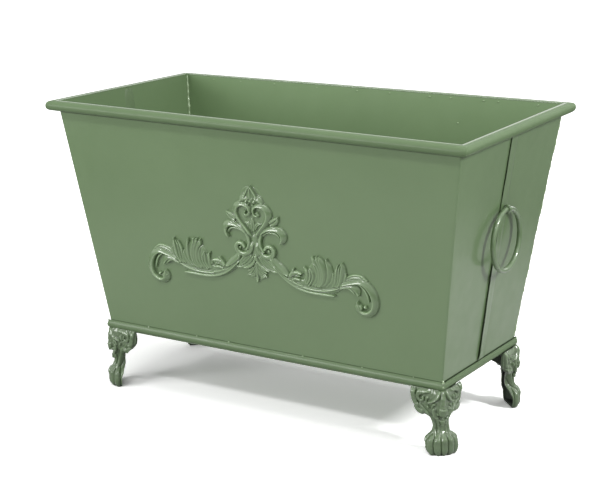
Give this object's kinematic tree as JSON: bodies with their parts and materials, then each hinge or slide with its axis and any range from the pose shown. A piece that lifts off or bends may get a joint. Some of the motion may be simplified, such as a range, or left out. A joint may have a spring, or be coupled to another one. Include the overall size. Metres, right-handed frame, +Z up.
{
  "type": "planter",
  "caption": "Tapered rectangular sheet-metal planter on cast paw feet, with rolled rim, hanging ring handles and a cast scroll ornament on the front.",
  "frame": {"origin": "on the floor, under the middle of the tub", "axes": "+X along the length, the front with the ornament faces -Y, +Z up"},
  "size_m": [0.6024, 0.3092, 0.392],
  "materials": {
    "painted_sheet": "satin sage-green paint over steel sheet",
    "painted_casting": "satin sage-green paint over cast metal",
    "bare_fastener": "zinc-plated steel"
  },
  "bodies": {
    "tub": {"wall_front": "painted_sheet", "wall_rear": "painted_sheet", "rim_front": "painted_sheet", "rim_rear": "painted_sheet", "rim_left": "painted_sheet", "rim_right": "painted_sheet", "base_bead_front": "painted_sheet", "base_bead_rear": "painted_sheet", "base_bead_left": "painted_sheet", "base_bead_right": "painted_sheet", "floor_plate": "painted_sheet", "ring_pin_left": "painted_sheet", "ring_pin_right": "painted_sheet", "foot_front_left": "painted_casting", "foot_front_right": "painted_casting", "foot_rear_left": "painted_casting", "foot_rear_right": "painted_casting", "ornament_crest": "painted_casting", "ornament_scroll_left": "painted_casting", "ornament_scroll_right": "painted_casting", "foot_bolts": "bare_fastener", "foot_washers": "bare_fastener", "foot_nuts": "bare_fastener"},
    "ring_left": {"ring_left": "painted_sheet"},
    "ring_right": {"ring_right": "painted_sheet"}
  },
  "joints": [
    {"name": "ring_left_swing", "type": "hinge", "parent": "tub", "child": "ring_left", "pos_m": [-0.28298, 0, 0.287], "axis": [0, 1, 0], "range_deg": [-7, 168]},
    {"name": "ring_right_swing", "type": "hinge", "parent": "tub", "child": "ring_right", "pos_m": [0.28298, 0, 0.287], "axis": [0, -1, 0], "range_deg": [-7, 168]}
  ]
}
